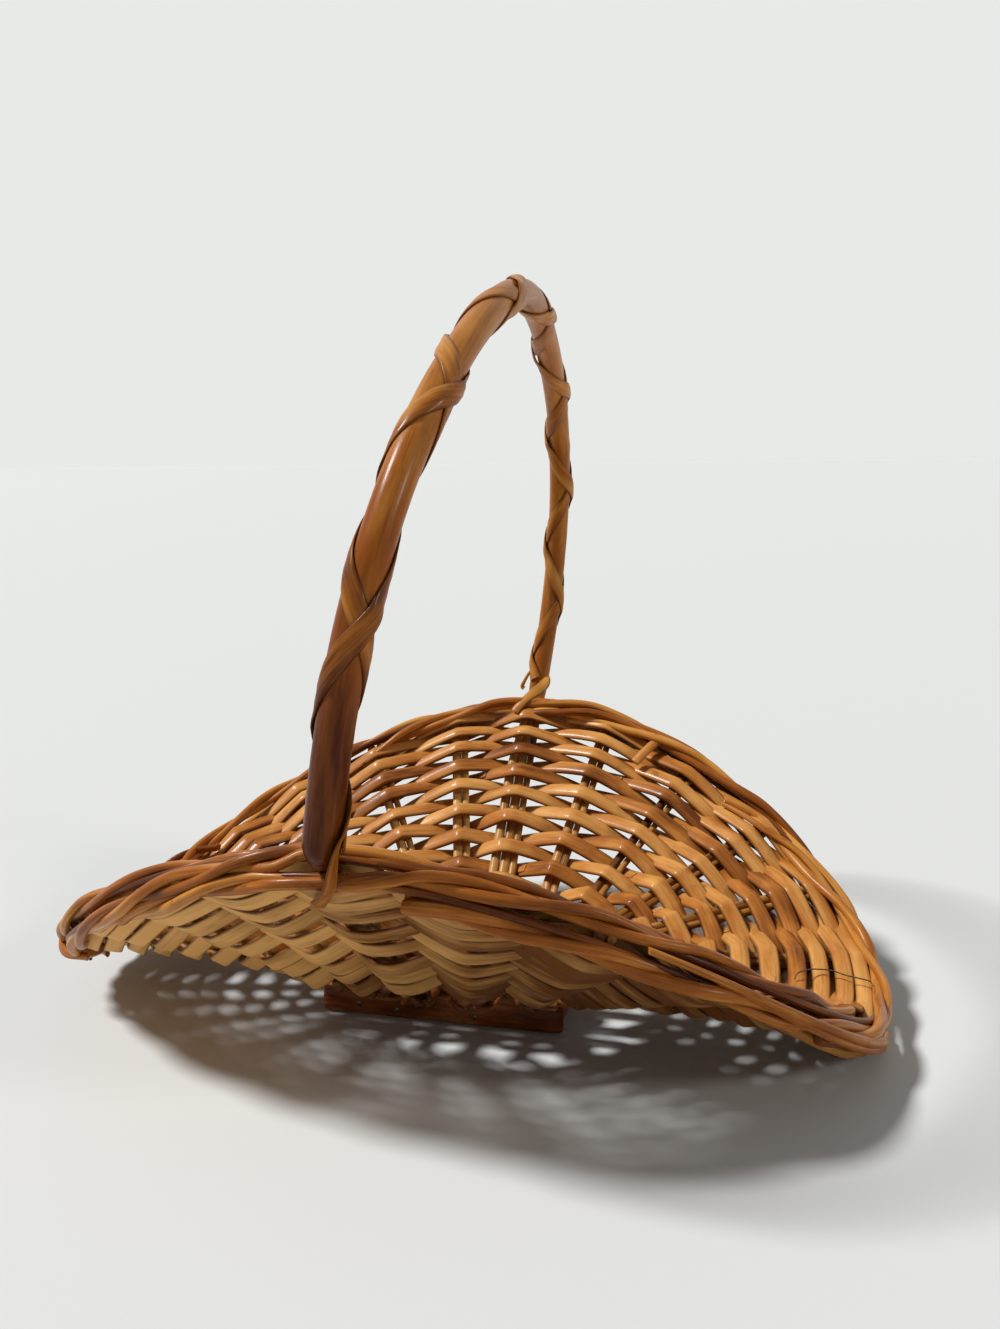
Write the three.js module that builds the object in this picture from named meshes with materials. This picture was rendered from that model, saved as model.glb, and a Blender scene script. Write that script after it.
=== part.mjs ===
// Flower gathering basket: a boat-shaped open willow tray on a stick foot with a fixed bow handle.
// Units are millimetres. X runs along the tips, Y across the tray, Z up, Z = 0 is the table.
import * as THREE from 'three';

// Clearance that every pair of touching pieces keeps.
const clearance = 0.3;

// Foot: two long bars and two short bars between them. The short bars stand higher and carry the base.
const footLength = 140;
const footWidth = 92;
const footHeight = 15;
const shortBarHeight = 21;
const footBarWidth = 15;
const footEdgeRadius = 4.5;

// Ribs: one thick and one thin rod side by side, each running from rim to rim through the base.
const ribGroups = 22;
const crossGroups = 5;
const ribDiameter = 6.4;
const sideRodDiameter = 4.6;
// Angles of the long groups from the tip, in degrees, the same on both sides of the tip.
const longGroupAngles = [11.2, 28, 42];

// Tray: an oval base ring and a rim curve that is low at the tips and high at the handle.
const baseHalfLength = 97;
const baseHalfWidth = 76;
const baseShift = 5;
const rimHalfLength = 240;
const rimHalfWidth = 190;
const tipHeight = 13.5;
const sideHeight = 138;
const leftTipLift = 14;
const leftShortening = 12;
const tipPower = 1.13;
const flankPower = 0.889;
const risePower = 1.7;
const wallPower = 1.0;

// Weavers: rows of split willow that pass over one rib group and under the next.
const weaverRows = 16;
const weaverThickness = 3.2;
const weaverClearance = 0.4;
const rowGap = 0.4;
const firstRow = 0.1;
const weaverWidest = 9.6;
// The rows lie closer together towards the rim.
const rowCrowding = 0.38;
const rampAngle = Math.PI / 3;

// Rim: an inner and an outer rod clamp the rib ends, and two top rods cover them.
const rimRodDiameter = 7;
const rimEndGap = 1.0;

// Handle: a round bow whose flattened feet sit between the rim rods.
const bowNearDiameter = 17.6;
const bowFarDiameter = 13;
const bowHeight = 404;
const bowNearBulge = 0.215;
const bowFarBulge = 0.226;
const bowLeanNear = 0.233;
const bowLeanFar = 0.11;
const tongueWidth = 12;
const tongueRise = 12;

// Two flat cane strips wound round the bow in opposite senses.
const stripWidth = 9;
const stripThickness = 1.2;
const stripNearPitch = 122;
const stripFarPitch = 80;
const stripPhase = 5;
const stripStepsPerTurn = 16;
const stripNearStart = 16;
const stripFarStart = 16;

const ribRadius = ribDiameter / 2;
const sideRodRadius = sideRodDiameter / 2;
const rimRodRadius = rimRodDiameter / 2;
const bowNearRadius = bowNearDiameter / 2;
const bowFarRadius = bowFarDiameter / 2;
const layerLift = ribRadius + clearance / 2;
const baseHeight = shortBarHeight + clearance + ribRadius + layerLift;
const groupHalf = (ribDiameter + clearance + sideRodDiameter) / 2;
const ribOffset = groupHalf - ribRadius;
const sideRodOffset = sideRodRadius - groupHalf;
const rimOffset = ribRadius + clearance + rimRodRadius;
const degree = Math.PI / 180;
// The left tip is shorter, so the foot and bow sit a little to the left of the middle of the whole length.
const trayShift = -leftShortening / 2;

const group = new THREE.Group();
group.name = 'flower_gathering_basket';

function material(name, colour) {
  const made = new THREE.MeshStandardMaterial({ color: colour, roughness: 0.5 });
  made.name = name;
  return made;
}

const ribMaterial = material('rib_willow', 0x8a5526);
const weaverMaterial = material('weaver_willow', 0xb5762f);
const rimMaterial = material('rim_willow', 0xa7652a);
const handleMaterial = material('handle_willow', 0xa2602a);
const stripMaterial = material('cane_strip', 0xb87a34);
const footMaterial = material('foot_willow', 0x7d4524);

function signedPower(value, power) {
  return Math.sign(value) * Math.pow(Math.abs(value), power);
}

// Point of the tray's middle surface: along = 0 on the base ring, 1 on the rim.
function surface(along, angle) {
  const c = Math.cos(angle);
  const s = Math.sin(angle);
  const leftness = (1 - c) / 2;
  const tip = tipHeight + leftTipLift * leftness * leftness;
  const rimZ = tip + (sideHeight - tip) * Math.pow(Math.abs(s), risePower);
  const shorter = c < 0 ? leftShortening : 0;
  const baseX = baseShift + (baseHalfLength - shorter / 2) * c;
  const rimX = (rimHalfLength - shorter) * signedPower(c, tipPower);
  const x = trayShift + (1 - along) * baseX + along * rimX;
  const y = (1 - along) * baseHalfWidth * s + along * rimHalfWidth * signedPower(s, flankPower);
  const z = baseHeight + (rimZ - baseHeight) * Math.pow(Math.max(along, 0), wallPower);
  return new THREE.Vector3(x, y, z);
}

// Directions at a surface point: round the tray, out along the wall, and the inward normal.
function directions(along, angle) {
  const step = 0.004;
  const low = Math.max(along - step, 0.0005);
  const round = surface(along, angle + step).sub(surface(along, angle - step)).normalize();
  const out = surface(low + 2 * step, angle).sub(surface(low, angle));
  out.addScaledVector(round, -out.dot(round)).normalize();
  const normal = new THREE.Vector3().crossVectors(out, round);
  if (normal.z < 0) {
    normal.negate();
  }
  const rib = surface(low + 2 * step, angle).sub(surface(low, angle)).normalize();
  const beside = new THREE.Vector3().crossVectors(normal, rib).normalize();
  if (beside.dot(round) < 0) {
    beside.negate();
  }
  return { round, out, normal, beside };
}

// The first offset is along the given direction name: round for weavers, beside for ribs.
function surfacePoint(along, angle, way, shift, out, normal) {
  const d = directions(along, angle);
  const p = surface(along, angle);
  p.addScaledVector(d[way], shift);
  p.addScaledVector(d.out, out);
  p.addScaledVector(d.normal, normal);
  return p;
}

// Closed solid skinned over rings of points, with flat ends.
function skin(rings, name, slot) {
  const sides = rings[0].length;
  const positions = [];
  const index = [];
  for (const ring of rings) {
    for (const p of ring) {
      positions.push(p.x, p.y, p.z);
    }
  }
  for (let i = 0; i + 1 < rings.length; i += 1) {
    for (let k = 0; k < sides; k += 1) {
      const a = i * sides + k;
      const b = i * sides + ((k + 1) % sides);
      index.push(a, b, a + sides, b, b + sides, a + sides);
    }
  }
  const last = (rings.length - 1) * sides;
  for (let k = 1; k + 1 < sides; k += 1) {
    index.push(0, k + 1, k);
    index.push(last, last + k, last + k + 1);
  }
  const geometry = new THREE.BufferGeometry();
  geometry.setAttribute('position', new THREE.Float32BufferAttribute(positions, 3));
  geometry.setIndex(index);
  let volume = 0;
  const corner = (n) => new THREE.Vector3(positions[3 * n], positions[3 * n + 1], positions[3 * n + 2]);
  for (let i = 0; i < index.length; i += 3) {
    volume += corner(index[i]).dot(corner(index[i + 1]).cross(corner(index[i + 2]))) / 6;
  }
  if (volume < 0) {
    for (let i = 0; i < index.length; i += 3) {
      const swap = index[i + 1];
      index[i + 1] = index[i + 2];
      index[i + 2] = swap;
    }
    geometry.setIndex(index);
  }
  geometry.computeVertexNormals();
  const mesh = new THREE.Mesh(geometry, slot);
  mesh.name = name;
  group.add(mesh);
  return mesh;
}

// Sweep of a section given as [across, normal] pairs along points, each with its own normal hint.
// The section is mitred at bends so that its thickness is kept on both sides of a bend.
function sweep(points, hints, sections, name, slot) {
  const rings = [];
  const count = points.length;
  for (let i = 0; i < count; i += 1) {
    const before = points[Math.max(i - 1, 0)];
    const here = points[i];
    const after = points[Math.min(i + 1, count - 1)];
    const inward = i > 0 ? here.clone().sub(before).normalize() : after.clone().sub(here).normalize();
    const outward = i + 1 < count ? after.clone().sub(here).normalize() : inward.clone();
    const tangent = inward.clone().add(outward).normalize();
    const normal = hints[i].clone();
    normal.addScaledVector(tangent, -normal.dot(tangent)).normalize();
    const across = new THREE.Vector3().crossVectors(tangent, normal);
    const bend = outward.clone().sub(inward);
    const stretch = 1 / Math.max(inward.dot(tangent), 0.5);
    const bendSide = bend.lengthSq() > 1e-12 ? bend.normalize() : normal.clone();
    const section = typeof sections === 'function' ? sections(i) : sections;
    const ring = [];
    for (const [w, n] of section) {
      const offset = across.clone().multiplyScalar(w).addScaledVector(normal, n);
      offset.addScaledVector(bendSide, offset.dot(bendSide) * (stretch - 1));
      ring.push(here.clone().add(offset));
    }
    rings.push(ring);
  }
  return skin(rings, name, slot);
}

// Sweep of a flat split whose width always follows the given across direction.
function flatSweep(points, acrosses, section, name, slot) {
  const rings = [];
  const count = points.length;
  for (let i = 0; i < count; i += 1) {
    const here = points[i];
    const before = points[Math.max(i - 1, 0)];
    const after = points[Math.min(i + 1, count - 1)];
    const inward = i > 0 ? here.clone().sub(before).normalize() : after.clone().sub(here).normalize();
    const outward = i + 1 < count ? after.clone().sub(here).normalize() : inward.clone();
    const tangent = inward.clone().add(outward).normalize();
    const thick = new THREE.Vector3().crossVectors(tangent, acrosses[i]).normalize();
    const stretch = 1 / Math.max(inward.dot(tangent), 0.5);
    rings.push(section.map(([w, n]) => {
      const corner = here.clone().addScaledVector(acrosses[i], w);
      return corner.addScaledVector(thick, n * stretch);
    }));
  }
  return skin(rings, name, slot);
}

// Section of a many-sided rod.
function roundSection(radius, sides, turn) {
  const section = [];
  for (let k = 0; k < sides; k += 1) {
    const a = turn + (2 * Math.PI * k) / sides;
    section.push([radius * Math.cos(a), radius * Math.sin(a)]);
  }
  return section;
}

// Foot bars, each a rounded stick lying flat on the table.
function footBar(length, height, name, turned, x, y) {
  const half = footBarWidth / 2;
  const section = [[-half, 0], [half, 0]];
  for (let k = 0; k <= 3; k += 1) {
    const a = (k * Math.PI) / 6;
    section.push([
      half - footEdgeRadius + footEdgeRadius * Math.cos(a),
      height - footEdgeRadius + footEdgeRadius * Math.sin(a),
    ]);
  }
  for (let k = 3; k <= 6; k += 1) {
    const a = (k * Math.PI) / 6;
    section.push([
      -half + footEdgeRadius + footEdgeRadius * Math.cos(a),
      height - footEdgeRadius + footEdgeRadius * Math.sin(a),
    ]);
  }
  const rings = [-length / 2, length / 2].map((end) => section.map(([w, z]) => (
    turned ? new THREE.Vector3(x - w, y + end, z) : new THREE.Vector3(x + end, y + w, z)
  )));
  skin(rings, name, footMaterial);
}

const longBarY = (footWidth - footBarWidth) / 2;
const shortBarX = (footLength - footBarWidth) / 2;
const shortBarLength = footWidth - 2 * footBarWidth - 2 * clearance;
footBar(footLength, footHeight, 'foot_bar_front', false, trayShift, -longBarY);
footBar(footLength, footHeight, 'foot_bar_back', false, trayShift, longBarY);
footBar(shortBarLength, shortBarHeight, 'foot_bar_left', true, trayShift - shortBarX, 0);
footBar(shortBarLength, shortBarHeight, 'foot_bar_right', true, trayShift + shortBarX, 0);

// Ribs. A through rod goes down one wall, across the base and up the mirrored wall.
// Cross rods lie on the upper layer of the base and long rods on the lower one.
const wallStops = [1, 0.82, 0.64, 0.46, 0.3, 0.18, 0.09, 0.055];
const ringStop = 0.012;
const crossHalf = (crossGroups - 1) / 2;
const longGroups = (ribGroups - 2 * crossGroups) / 2;
const crossAngles = [];
for (let k = -crossHalf; k <= crossHalf; k += 1) {
  crossAngles.push(90 * degree - (k * 2 * Math.PI) / ribGroups);
}
const longAngles = [];
for (let k = 0; k < longGroups; k += 1) {
  const steps = k - longGroups / 2;
  longAngles.push(steps < 0 ? -longGroupAngles[-steps - 1] * degree : longGroupAngles[steps] * degree);
}
// All group angles in turn round the tray, from the far handle foot on.
const ribAngles = [];
for (const angle of [...crossAngles, ...longAngles]) {
  const mirrored = crossAngles.includes(angle) ? -angle : Math.PI - angle;
  for (const place of [angle, mirrored]) {
    ribAngles.push(90 * degree + ((place - 90 * degree + 4 * Math.PI) % (2 * Math.PI)));
  }
}
ribAngles.sort((a, b) => a - b);

function throughRod(angle, mirrored, offset, radius, sides, lift, top, name) {
  const points = [];
  const hints = [];
  const walk = (theAngle, theOffset, reversed) => {
    const half = [];
    wallStops.forEach((stop) => {
      const along = stop === 1 ? 1 : stop;
      const extra = stop === 1 ? top : 0;
      const p = surfacePoint(along, theAngle, 'beside', theOffset, extra, 0);
      half.push([p, directions(along, theAngle).normal]);
    });
    const wallSide = directions(ringStop, theAngle).beside;
    const flat = lift > 0 ? new THREE.Vector3(1, 0, 0) : new THREE.Vector3(0, 1, 0);
    if (flat.dot(wallSide) < 0) {
      flat.negate();
    }
    const bisector = flat.clone().add(wallSide).normalize();
    const ring = surface(ringStop, theAngle).addScaledVector(bisector, theOffset / bisector.dot(flat));
    ring.z = baseHeight + lift;
    half.push([ring, new THREE.Vector3(0, 0, 1)]);
    if (reversed) {
      half.reverse();
    }
    half.forEach(([p, n]) => {
      points.push(p);
      hints.push(n);
    });
  };
  walk(angle, offset, false);
  walk(mirrored, -offset, true);
  // A five-sided rod turns one edge to its neighbour, a six-sided one a flat side.
  const turn = sides % 2 === 0 ? Math.PI / sides : 0;
  sweep(points, hints, roundSection(radius, sides, turn), name, ribMaterial);
}

const ribTop = 1.5;
const legTop = -rimRodRadius - 2 * clearance;
for (let k = 0; k < crossGroups; k += 1) {
  const angle = crossAngles[k];
  const top = k === crossHalf ? legTop : ribTop;
  const label = k + 1;
  throughRod(angle, -angle, ribOffset, ribRadius, 6, layerLift, top, `rib_cross_${label}`);
  throughRod(angle, -angle, sideRodOffset, sideRodRadius, 5, layerLift, top, `side_rod_cross_${label}`);
}
for (let k = 0; k < longGroups; k += 1) {
  const angle = longAngles[k];
  const mirrored = Math.PI - angle;
  throughRod(angle, mirrored, ribOffset, ribRadius, 6, -layerLift, ribTop, `rib_long_${k + 1}`);
  throughRod(angle, mirrored, sideRodOffset, sideRodRadius, 5, -layerLift, ribTop, `side_rod_long_${k + 1}`);
}

// Weaver rows. The width of each comes from its tightest spacing to the next row.
const rimRoom = rimRodRadius + 2 * clearance;
const rightRun = rimHalfLength - baseHalfLength - baseShift;
const leftRun = rimHalfLength - baseHalfLength - leftShortening / 2 + baseShift;
const tipRun = Math.min(rightRun, leftRun);
let lastRow = 0.94;
function rowPlace(row) {
  const share = row / (weaverRows - 1);
  return firstRow + (lastRow - firstRow) * share * (1 + rowCrowding * (1 - share));
}

function rowWidth(row) {
  const lower = Math.min(row, weaverRows - 2);
  const along = rowPlace(lower);
  const above = rowPlace(lower + 1);
  let tightest = weaverWidest + rowGap;
  for (let a = 0; a < 360; a += 2) {
    const d = directions(along, a * degree);
    const gap = surface(above, a * degree).sub(surface(along, a * degree)).dot(d.out);
    tightest = Math.min(tightest, gap);
  }
  return tightest - rowGap;
}

for (let pass = 0; pass < 4; pass += 1) {
  lastRow = 1 - (rimRoom + rowWidth(weaverRows - 1) / 2) / tipRun;
}
const weaverOffset = ribRadius + weaverClearance + weaverThickness / 2;
const reach = ribRadius + weaverClearance + weaverThickness / 2;
const plateau = Math.abs(ribOffset) + reach * Math.tan(rampAngle / 2);

for (let row = 0; row < weaverRows; row += 1) {
  const along = rowPlace(row);
  const half = rowWidth(row) / 2;
  const thick = weaverThickness / 2;
  const section = [[-half, -thick], [half, -thick], [half, thick], [-half, thick]];
  const first = (row * 5) % ribGroups;
  const points = [];
  const widths = [];
  const lifts = [];
  for (let n = 0; n <= ribGroups; n += 1) {
    const rib = (first + n) % ribGroups;
    const side = (rib + row) % 2 === 0 ? 1 : -1;
    const d = directions(along, ribAngles[rib]);
    const long = plateau / d.beside.dot(d.round);
    const marks = [-long, long];
    if (n === 0) {
      marks[0] = clearance;
    }
    if (n === ribGroups) {
      marks[1] = -clearance;
    }
    for (const mark of marks) {
      points.push(surfacePoint(along, ribAngles[rib], 'round', mark, 0, side * weaverOffset));
      widths.push(d.out);
      lifts.push(d.normal.clone().multiplyScalar(side * weaverOffset));
    }
  }
  // Where the wall twists, each ramp is shifted so that its middle stays on the row's own line.
  for (let n = 1; n + 1 < points.length; n += 2) {
    const line = widths[n].clone().add(widths[n + 1]).normalize();
    const stray = lifts[n].clone().add(lifts[n + 1]).multiplyScalar(0.5).dot(line);
    points[n].addScaledVector(line, -stray);
    points[n + 1].addScaledVector(line, -stray);
  }
  flatSweep(points, widths, section, `weaver_row_${String(row + 1).padStart(2, '0')}`, weaverMaterial);
}

// Base weavers: narrow splits in the lanes between the long rods, over and under the cross rods.
const crossPlaces = crossAngles.map((angle) => surface(0, angle).x);
const longPlaces = longAngles.map((angle) => surface(ringStop, angle).y);
const baseTail = groupHalf + 2 * weaverOffset;
for (let lane = 0; lane + 1 < longGroups; lane += 1) {
  const y = (longPlaces[lane] + longPlaces[lane + 1]) / 2;
  const laneWidth = longPlaces[lane + 1] - longPlaces[lane] - 2 * groupHalf - 2 * weaverClearance;
  const points = [];
  crossPlaces.forEach((x, n) => {
    const side = (n + lane) % 2 === 0 ? 1 : -1;
    const z = baseHeight + layerLift + side * weaverOffset;
    const tailBefore = n === 0 ? baseTail : plateau;
    const tailAfter = n === crossPlaces.length - 1 ? baseTail : plateau;
    points.push(new THREE.Vector3(x - tailBefore, y, z));
    points.push(new THREE.Vector3(x + tailAfter, y, z));
  });
  const half = laneWidth / 2;
  const thick = weaverThickness / 2;
  const section = [[-half, -thick], [half, -thick], [half, thick], [-half, thick]];
  const widths = points.map(() => new THREE.Vector3(0, 1, 0));
  flatSweep(points, widths, section, `base_weaver_${lane + 1}`, weaverMaterial);
}

// Rim rods. The top pair parts round the two handle feet.
const rimSteps = 66;
const topNormal = rimRodRadius + clearance / 2;
const pitchRim = rimRodDiameter + clearance;
function rimRod(name, start, place) {
  const points = [];
  const hints = [];
  const gapAngle = rimEndGap / rimHalfWidth;
  for (let i = 0; i <= rimSteps; i += 1) {
    const angle = start * degree + gapAngle / 2 + ((2 * Math.PI - gapAngle) * i) / rimSteps;
    const [out, normal] = place(angle);
    points.push(surfacePoint(1, angle, 'round', 0, out, normal));
    hints.push(directions(1, angle).normal);
  }
  sweep(points, hints, roundSection(rimRodRadius, 6, 0), name, rimMaterial);
}

function footNearness(angle) {
  const swing = Math.abs(Math.cos(angle));
  return Math.max(0, 1 - swing / 0.34);
}

function topPlace(side) {
  return (angle) => {
    const part = Math.min(1, footNearness(angle) * 2.2);
    const eased = part * part * (3 - 2 * part);
    const normal = topNormal + (rimOffset - topNormal) * eased;
    const rise = Math.sqrt(Math.max(pitchRim * pitchRim - (rimOffset - normal) ** 2, 0)) + clearance;
    return [rise, side * normal];
  };
}

rimRod('rim_rod_inner', 200, () => [0, rimOffset]);
rimRod('rim_rod_outer', 330, () => [0, -rimOffset]);
rimRod('rim_rod_top_inner', 148, topPlace(1));
rimRod('rim_rod_top_outer', 25, topPlace(-1));

// Bow. Flat tongues at both feet, then a smooth change to the round rod.
function footFrame(side) {
  const angle = side * 90 * degree;
  return { base: surface(1, angle), out: directions(1, angle).out, normal: directions(1, angle).normal };
}

const nearFoot = footFrame(-1);
const farFoot = footFrame(1);
const anchor = nearFoot.base.clone().addScaledVector(nearFoot.out, tongueRise);
const bowHalf = -anchor.y;

function archPoint(turn) {
  const c = Math.cos(turn);
  const rise = bowHeight - anchor.z;
  const strength = turn < Math.PI / 2 ? bowNearBulge : bowFarBulge;
  const bulge = 1 + strength * Math.sin(2 * Math.min(turn, Math.PI - turn));
  const z = anchor.z + rise * Math.sin(turn);
  const near = (1 + c) / 2;
  const x = anchor.x + (z - anchor.z) * (bowLeanNear * near + bowLeanFar * (1 - near));
  return new THREE.Vector3(x, -bowHalf * c * bulge, z);
}

const tongueBottom = -rimRodRadius - clearance / 2;
const bowPoints = [];
const bowGrowth = [];
bowPoints.push(nearFoot.base.clone().addScaledVector(nearFoot.out, tongueBottom));
bowGrowth.push(0);
bowPoints.push(anchor.clone());
bowGrowth.push(0);
const archSteps = 34;
for (let i = 1; i < archSteps; i += 1) {
  const turn = (Math.PI * i) / archSteps;
  bowPoints.push(archPoint(turn));
  bowGrowth.push(1);
}
bowPoints.push(farFoot.base.clone().addScaledVector(farFoot.out, tongueRise));
bowGrowth.push(0);
bowPoints.push(farFoot.base.clone().addScaledVector(farFoot.out, tongueBottom));
bowGrowth.push(0);
// The rod is thick at its butt end in front and thinner at its tip end behind.
function bowRadiusAt(share) {
  return bowNearRadius + (bowFarRadius - bowNearRadius) * share;
}

const bowHints = bowPoints.map(() => new THREE.Vector3(1, 0, 0));
const bowSection = (i) => {
  const radius = bowRadiusAt(i / (bowPoints.length - 1));
  const along = tongueWidth / 2 + (radius - tongueWidth / 2) * bowGrowth[i];
  const thick = ribRadius + (radius - ribRadius) * bowGrowth[i];
  return roundSection(1, 12, Math.PI / 12).map(([w, n]) => [w * thick, n * along]);
};
sweep(bowPoints, bowHints, bowSection, 'bow_handle', handleMaterial);

// Cane strips wound on the bow. The second one lies outside the first where they cross.
const bowCurve = new THREE.CatmullRomCurve3(bowPoints.slice(1, bowPoints.length - 1));
const bowLength = bowCurve.getLength();
// Turns made up to a share of the bow; the pitch shrinks evenly from the near foot to the far one.
function stripTurns(share) {
  const change = stripFarPitch - stripNearPitch;
  return (bowLength / change) * Math.log(1 + (change * share) / stripNearPitch);
}

function strip(name, sense, lift) {
  const from = stripNearStart / bowLength;
  const to = 1 - stripFarStart / bowLength;
  const steps = Math.round((stripTurns(to) - stripTurns(from)) * stripStepsPerTurn);
  const points = [];
  const hints = [];
  for (let i = 0; i <= steps; i += 1) {
    const share = from + ((to - from) * i) / steps;
    const centre = bowCurve.getPointAt(share);
    const tangent = bowCurve.getTangentAt(share);
    const side = new THREE.Vector3(1, 0, 0);
    side.addScaledVector(tangent, -side.dot(tangent)).normalize();
    const front = new THREE.Vector3().crossVectors(tangent, side);
    const a = stripPhase * degree + sense * 2 * Math.PI * stripTurns(share);
    const radial = side.multiplyScalar(Math.cos(a)).addScaledVector(front, Math.sin(a));
    points.push(centre.clone().addScaledVector(radial, bowRadiusAt(share) + lift));
    hints.push(radial.clone());
  }
  const radius = bowNearRadius + lift;
  const slant = Math.atan2(2 * Math.PI * radius, stripNearPitch);
  const wrap = ((stripWidth / 2) * Math.cos(slant)) ** 2 / (2 * radius);
  const section = [
    [-stripWidth / 2, -stripThickness / 2 - wrap],
    [0, -stripThickness / 2],
    [stripWidth / 2, -stripThickness / 2 - wrap],
    [stripWidth / 2, stripThickness / 2 - wrap],
    [0, stripThickness / 2],
    [-stripWidth / 2, stripThickness / 2 - wrap],
  ];
  sweep(points, hints, section, name, stripMaterial);
  let least = Infinity;
  for (let i = 0; i < points.length; i += 1) {
    for (let j = i + Math.floor(stripStepsPerTurn * 0.6); j < points.length; j += 1) {
      least = Math.min(least, points[i].distanceTo(points[j]));
    }
  }
  console.log(`${name} least gap to itself ${(least - stripWidth).toFixed(2)} mm`);
}

const chordSag = (bowNearRadius + 2 * stripThickness) * (1 - Math.cos(Math.PI / stripStepsPerTurn));
const innerStripLift = clearance + stripThickness / 2 + 2 * chordSag;
const outerStripLift = innerStripLift + stripThickness + clearance + 3 * chordSag;
strip('cane_strip_inner', 1, innerStripLift);
strip('cane_strip_outer', -1, outerStripLift);

console.log(`weaver widths ${rowWidth(0).toFixed(2)} to ${rowWidth(15).toFixed(2)} mm, last row ${lastRow.toFixed(3)}`);

export default group;
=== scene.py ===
# Flower gathering basket in varnished willow: an oval tray woven over fanned ribs, with a rolled rim,
# a fixed bow handle wound with cane and a low stick foot. Metres, same frame as the CAD model.
import math
import random

import bpy
import numpy as np
from mathutils import Matrix, Vector


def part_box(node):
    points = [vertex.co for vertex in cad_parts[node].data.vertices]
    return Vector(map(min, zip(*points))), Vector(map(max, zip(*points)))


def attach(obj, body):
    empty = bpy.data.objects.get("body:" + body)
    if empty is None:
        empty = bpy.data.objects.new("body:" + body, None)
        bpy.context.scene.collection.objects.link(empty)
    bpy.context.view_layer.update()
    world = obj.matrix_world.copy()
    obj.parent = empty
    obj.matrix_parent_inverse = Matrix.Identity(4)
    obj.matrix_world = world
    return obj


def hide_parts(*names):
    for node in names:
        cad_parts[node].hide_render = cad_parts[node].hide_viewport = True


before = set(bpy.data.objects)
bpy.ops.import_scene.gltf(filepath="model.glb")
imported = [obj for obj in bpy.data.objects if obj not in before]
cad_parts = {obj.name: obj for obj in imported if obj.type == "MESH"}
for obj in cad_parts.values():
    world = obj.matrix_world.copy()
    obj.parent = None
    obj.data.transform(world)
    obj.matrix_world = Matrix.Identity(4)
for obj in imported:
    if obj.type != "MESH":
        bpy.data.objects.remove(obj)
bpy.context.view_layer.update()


# The foot: four willow sticks with eased edges, nailed into a low frame and varnished dark.
# Two long sticks stand on the floor, and two taller short ones between them carry the base of the tray.
def linear(hex_colour):
    """sRGB hex to linear RGBA."""
    channels = [int(hex_colour[i:i + 2], 16) / 255 for i in (1, 3, 5)]
    return [c / 12.92 if c <= 0.04045 else ((c + 0.055) / 1.055) ** 2.4 for c in channels] + [1.0]


def add(tree, kind, settings=None, **sockets):
    """Adds a node, sets its properties, then sets or links its inputs by name or by number."""
    node = tree.nodes.new(kind)
    for name, value in (settings or {}).items():
        setattr(node, name, value)
    for name, value in sockets.items():
        socket = node.inputs[int(name[1:])] if name[0] == "_" else node.inputs[name.replace("_", " ")]
        if isinstance(value, bpy.types.NodeSocket):
            tree.links.new(value, socket)
        else:
            socket.default_value = value
    return node


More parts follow.
